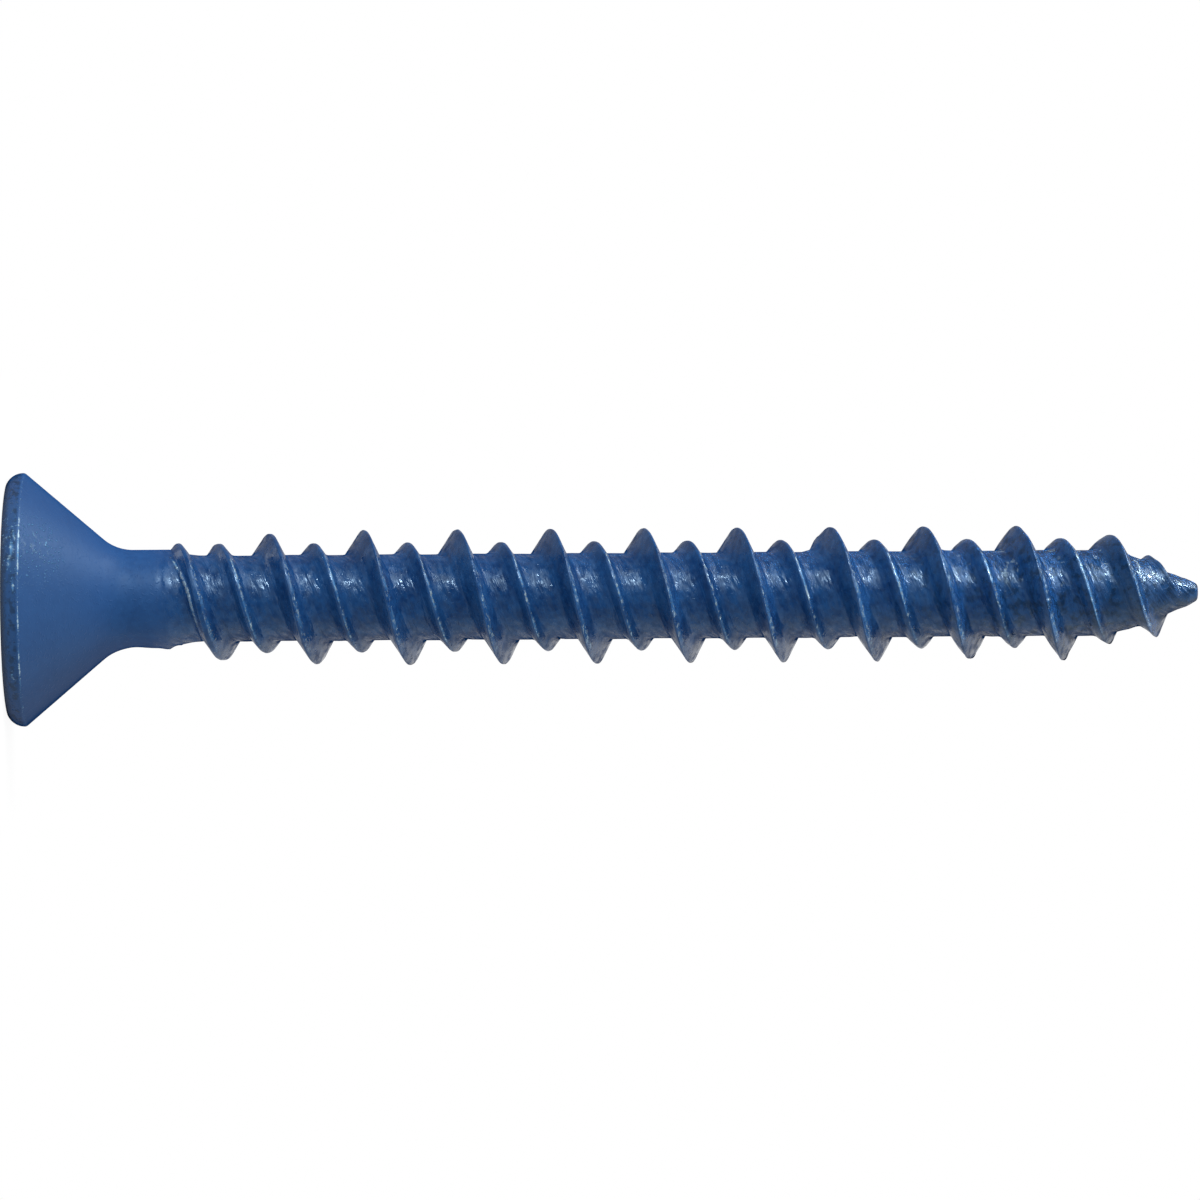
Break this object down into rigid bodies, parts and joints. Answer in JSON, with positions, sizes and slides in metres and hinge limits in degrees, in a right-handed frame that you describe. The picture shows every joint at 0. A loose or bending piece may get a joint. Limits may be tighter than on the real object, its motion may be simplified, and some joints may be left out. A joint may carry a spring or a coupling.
{
  "type": "concrete screw",
  "caption": "Flat-head concrete screw with a countersunk head, a plain neck, a high and a low right-hand thread and a blunt pointed tip, coated blue.",
  "frame": {"origin": "centre of the head's flat top, on which the screw stands", "axes": "+Z along the screw's axis from the head to the tip; +X points away from the picture's upper side and +Y away from its camera"},
  "size_m": [0.0122, 0.0122, 0.0571],
  "materials": {
    "blue_coat": "satin blue corrosion coating over steel"
  },
  "bodies": {
    "root": {"screw": "blue_coat"}
  },
  "joints": []
}
